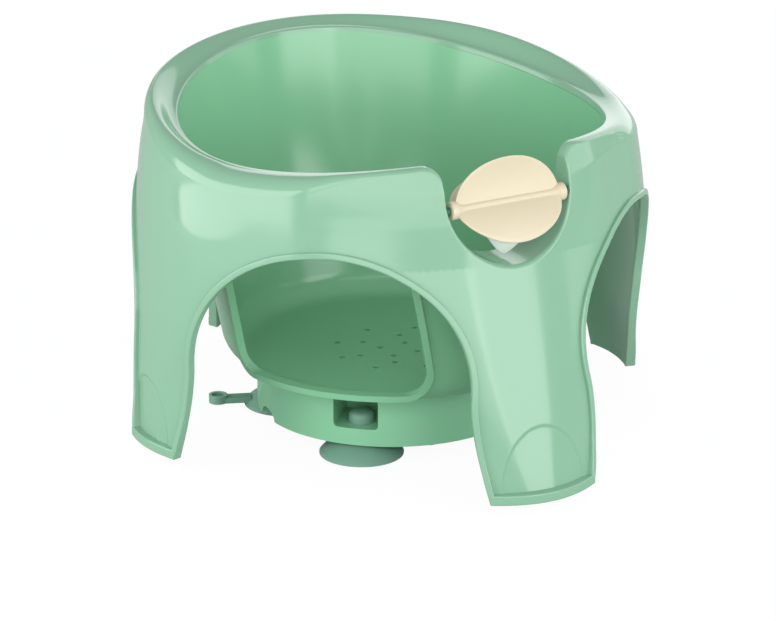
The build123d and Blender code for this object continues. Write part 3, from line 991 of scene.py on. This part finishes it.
    def add_bosses(self, skin: Skin) -> None:
        """Add the four screw bosses under the rim.

        Args:
            skin: The mesh that grows.
        """
        reach = self.boss_reach
        for azimuth in self.boss_azimuths:
            turned = math.radians(azimuth)
            middle = Vector((reach * math.sin(turned), -reach * math.cos(turned), 0))
            rows = []
            for step in range(24):
                angle = math.radians(15 * step)
                way = Vector((math.cos(angle), math.sin(angle), 0))
                rows.append([middle + way * r + Vector((0, 0, z)) for r, z in self.boss_profile])
            skin.add_strip(rows, closed=True)

    def build(self) -> None:
        """Build the whole shell in place of the plain one."""
        skin = Skin()
        lines = self.top_lines()
        starts = [line[0] for line in lines]
        first = self.add_sheet(skin, starts, 0.0)
        for line, index in zip(lines, first):
            line[0] = skin.points[index].copy()
        skin.add_strip(lines, closed=True, first=first)
        # A lining closes the hollow between the inner sheet and the rim
        lining = []
        for line in lines:
            start, ridge, inner = line[0], line[12], line[-1]
            toward = Vector((-start.x, -start.y, 0)).normalized() * self.wall
            foot = start + toward
            lining.append([foot, (foot + ridge) / 2 - Vector((0, 0, 3)), inner])
        self.add_sheet(skin, starts, self.wall)
        skin.add_strip(lining, closed=True, flip=True)
        self.add_beads(skin)
        self.add_bosses(skin)
        shell = skin.make("shell_moulding", SAGE_SHELL.material(), Part.SEAT)
        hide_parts("outer_shell")


@dataclass
class Roller:
    """The spinning toy: hubs, a thin core, three bowed vanes and a white pointed one."""

    core: float = 2.5
    hub: float = 5.4
    hub_end: float = 38.6
    reach: float = 27.5
    half: float = 35.0
    white_reach: float = 33.4
    white_half: float = 24.0
    thick: float = 0.85
    sag: float = 2.6
    vane_angles: tuple[float, ...] = (0.0, 135.0, 290.0)
    white_angle: float = 180.0

    def place(self, x: float, out: float, side: float, angle: float) -> Vector:
        """Return a point at a distance from the axle, in the frame of a vane.

        Args:
            x: Place along the axle.
            out: Distance from the axle along the vane.
            side: Distance off the vane's middle.
            angle: The vane's angle from straight up, turning to the front.

        Returns:
            The point in millimetres.
        """
        turn = math.radians(angle)
        y = AXLE_Y - out * math.sin(turn) + side * math.cos(turn)
        z = AXLE_Z + out * math.cos(turn) + side * math.sin(turn)
        return Vector((x, y, z))

    def blade(self, skin: Skin, angle: float, half: float, tip: Callable[[float], float]) -> None:
        """Add one bowed vane with a rounded edge.

        Args:
            skin: The mesh that grows.
            angle: The vane's angle.
            half: Half its length along the axle.
            tip: Its reach at a place along the axle, from -1 to 1.
        """
        across, up = 44, 14
        rows = []
        for i in range(across + 1):
            t = -math.cos(math.pi * i / across)
            far = tip(t)
            section = []
            for face in (1, -1):
                steps = range(up + 1) if face == 1 else range(up, -1, -1)
                for j in steps:
                    out = 0.5 + (far - 0.5) * (j / up) ** 0.85
                    share = out / self.reach
                    bow = self.sag * 4 * share * (1 - share) * (1 - 0.55 * t * t)
                    thin = self.thick * (1 - 0.45 * min(share, 1.0) ** 3)
                    if j == up:
                        thin *= 0.45
                    section.append(self.place(t * half, out, bow + face * thin, angle))
            rows.append(section)
        skin.add_strip(rows, closed=False, flip=True)

    def wheel_tip(self, t: float) -> float:
        """Return the reach of a beige vane: a disc that draws in like a lemon at its hubs."""
        return 2.2 + (self.reach - 2.2) * max(0.0, 1 - t * t) ** 0.56

    def white_tip(self, t: float) -> float:
        """Return the reach of the white vane: a shield with a pointed tip."""
        return 2.0 + (self.white_reach - 2.0) * (1 - abs(t) ** 1.35) ** 0.85

    def build(self) -> None:
        """Build the wheel and the white vane in place of the plain ones."""
        wheel = Skin()
        for angle in self.vane_angles:
            self.blade(wheel, angle, self.half, self.wheel_tip)
        # Along the axle the thin core swells to a hub at each end, in (place, radius) steps
        end, hub = self.hub_end, self.hub
        half_profile = [(0.0, self.core), (28, self.core), (31.5, self.core + 0.5), (33.4, hub - 1.4),
                        (34.2, hub - 0.3), (34.8, hub), (end - 0.6, hub), (end - 0.15, hub - 0.2),
                        (end, hub - 0.7), (end, 1.9)]
        profile = [(-x, r) for x, r in half_profile[:0:-1]] + half_profile
        rows = []
        for step in range(40):
            turn = 9 * step
            rows.append([self.place(x, r, 0.0, turn) for x, r in profile])
        wheel.add_strip(rows, closed=True, flip=True)
        made = wheel.make("roller_beige", CREAM_TOY.material(), Part.ROLLER)
        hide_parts("roller_wheel")
        white = Skin()
        self.blade(white, self.white_angle, self.white_half, self.white_tip)
        made = white.make("roller_white", WHITE_TOY.material(), Part.ROLLER)
        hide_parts("roller_white_vane")


@dataclass
class Bush:
    """A small dark ring round the pin, between a hub and a cheek of the notch."""

    side: int
    bore: float = 1.86
    outside: float = 2.5
    inner_end: float = 38.9
    outer_end: float = 43.4

    def build(self) -> None:
        """Build the ring in place of the plain one."""
        near, far = self.inner_end, self.outer_end
        half = [(far, self.bore), (far, self.outside), (near + 0.4, self.outside),
                (near + 0.1, self.outside - 0.1), (near, self.outside - 0.4), (near, self.bore),
                (far, self.bore)]
        skin = Skin()
        rows = []
        for step in range(32):
            angle = math.radians(11.25 * step)
            rows.append([Vector((self.side * x, AXLE_Y + r * math.sin(angle),
                                 AXLE_Z + r * math.cos(angle))) for x, r in half])
        skin.add_strip(rows, closed=True, flip=self.side > 0)
        name = "left" if self.side < 0 else "right"
        ring = skin.make("bush_" + name, DARK_BUSH.material(), Part.SEAT)
        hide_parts("axle_bush_" + name)


@dataclass
class DressedNodes:
    """CAD nodes that keep their own shape and only get a finish."""

    nodes: tuple[str, ...]
    finish: MouldedPlastic | Metal

    def build(self) -> None:
        """Give every node of the group its finish."""
        made = self.finish.material()
        for name in self.nodes:
            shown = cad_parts[name]
            for place in shown.material_slots:
                place.material = made
            LOG.info("%s: %s", name, self.finish.name)


@dataclass(frozen=True)
class Softbox:
    """A rectangular softbox on a stand, facing the seat and hidden from the camera."""

    name: str
    azimuth: float
    away: float
    height: float
    size: tuple[float, float]
    glow: float
    aim_z: float = 0.12

    def hang(self) -> None:
        """Add the light; its glow is how bright its face looks, where 1 is white."""
        lamp = bpy.data.lights.new(self.name, "AREA")
        lamp.shape = "RECTANGLE"
        lamp.size, lamp.size_y = self.size
        lamp.energy = self.glow * math.pi * self.size[0] * self.size[1]
        holder = bpy.data.objects.new(self.name, lamp)
        bpy.context.collection.objects.link(holder)
        turned = math.radians(self.azimuth)
        place = (self.away * math.sin(turned), -self.away * math.cos(turned), self.height)
        holder.location = place
        back = holder.location - Vector((0, 0, self.aim_z))
        holder.rotation_euler = back.to_track_quat("Z", "Y").to_euler()
        holder.visible_camera = False


@dataclass
class Studio:
    """A pale floor, soft lights and the photograph's camera."""

    softboxes: tuple[Softbox, ...] = (
        Softbox("left_softbox", -101, 1.3, 0.42, (1.75, 0.8), 3.6),
        Softbox("front_softbox", 19, 1.5, 0.5, (0.82, 0.9), 3.8),
        Softbox("back_wall", 132, 1.8, 0.62, (2.6, 1.2), 1.5),
        Softbox("front_wall", -22, 2.0, 0.9, (2.4, 1.4), 2.4),
        Softbox("right_wall", 68, 1.7, 0.6, (1.2, 1.0), 1.4),
    )
    camera_at: Vector = field(default_factory=lambda: Vector((-1.275866, -2.241324, 0.995915)))
    camera_looks_at: Vector = field(
        default_factory=lambda: Vector((-0.007125, -0.007936, 0.071159))
    )
    lens_mm: float = 205.7
    sensor_mm: float = 36.0
    floor_size: float = 30.0
    floor_drop: float = 0.0005
    floor_white: float = 1.05
    shadow_kept: float = 0.1
    room_glow: float = 0.45

    def build(self) -> None:
        """Make the floor, the world, the lights and the camera."""
        self.make_floor()
        self.make_world()
        for softbox in self.softboxes:
            softbox.hang()
        self.make_camera()

    def make_floor(self) -> None:
        """Make a floor that looks almost white to the camera and keeps a soft shadow."""
        half = self.floor_size / 2
        mesh = bpy.data.meshes.new("floor")
        corners = [(-half, -half, 0), (half, -half, 0), (half, half, 0), (-half, half, 0)]
        mesh.from_pydata(corners, [], [(0, 1, 2, 3)])
        floor = bpy.data.objects.new("floor", mesh)
        bpy.context.collection.objects.link(floor)
        floor.location.z = -self.floor_drop
        made = bpy.data.materials.new("pale_floor")
        made.use_nodes = True
        tree = made.node_tree
        shader = tree.nodes["Principled BSDF"]
        shader.inputs["Base Color"].default_value = linear("#C4C8C5")
        shader.inputs["Roughness"].default_value = 0.9
        white = add_node(
            tree, "ShaderNodeEmission", {"Color": (1, 1, 1, 1), "Strength": self.floor_white}
        )
        light_path = add_node(tree, "ShaderNodeLightPath")
        seen = add_node(
            tree, "ShaderNodeMath", {"operation": "MULTIPLY"},
            {0: light_path.outputs["Is Camera Ray"]},
        )
        seen.inputs[1].default_value = 1 - self.shadow_kept
        mixed = add_node(
            tree, "ShaderNodeMixShader", None,
            {"Fac": seen.outputs["Value"], 1: shader.outputs["BSDF"], 2: white.outputs["Emission"]},
        )
        tree.links.new(mixed.outputs["Shader"], tree.nodes["Material Output"].inputs["Surface"])
        mesh.materials.append(made)

    def make_world(self) -> None:
        """Fill the room with even light; the camera sees it as white."""
        world = bpy.data.worlds.new("studio")
        bpy.context.scene.world = world
        world.use_nodes = True
        tree = world.node_tree
        tree.nodes.clear()
        room = add_node(
            tree, "ShaderNodeBackground", {"Color": (0.93, 0.97, 1.0, 1), "Strength": self.room_glow}
        )
        seen = add_node(tree, "ShaderNodeBackground", {"Color": (1, 1, 1, 1), "Strength": 1.0})
        light_path = add_node(tree, "ShaderNodeLightPath")
        mixed = add_node(
            tree, "ShaderNodeMixShader", None,
            {"Fac": light_path.outputs["Is Camera Ray"], 1: room.outputs["Background"],
             2: seen.outputs["Background"]},
        )
        add_node(tree, "ShaderNodeOutputWorld", None, {"Surface": mixed.outputs["Shader"]})

    def make_camera(self) -> None:
        """Set the camera where the photograph was taken from."""
        lens = bpy.data.cameras.new("camera")
        lens.lens = self.lens_mm
        lens.sensor_width = self.sensor_mm
        holder = bpy.data.objects.new("camera", lens)
        bpy.context.collection.objects.link(holder)
        holder.location = self.camera_at
        back = self.camera_at - self.camera_looks_at
        holder.rotation_euler = back.to_track_quat("Z", "Y").to_euler()
        bpy.context.scene.camera = holder


def main() -> None:
    """Build the scene, piece by piece."""
    logging.basicConfig(level=logging.INFO)
    scene = bpy.context.scene
    scene.view_settings.view_transform = "Standard"
    Shell().build()
    DressedNodes(("seat_bucket",), SAGE_BUCKET_PAINTED_LIGHT).build()
    DressedNodes(("base_drum",), SAGE_DRUM_PAINTED_LIGHT).build()
    cups = tuple(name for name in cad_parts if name.startswith("suction_cup"))
    DressedNodes(cups, CUP_RUBBER).build()
    Roller().build()
    Bush(-1).build()
    Bush(1).build()
    DressedNodes(("roller_axle", "rim_screws", "base_screws"), STEEL).build()
    Studio().build()


if __name__ == "__main__":
    main()
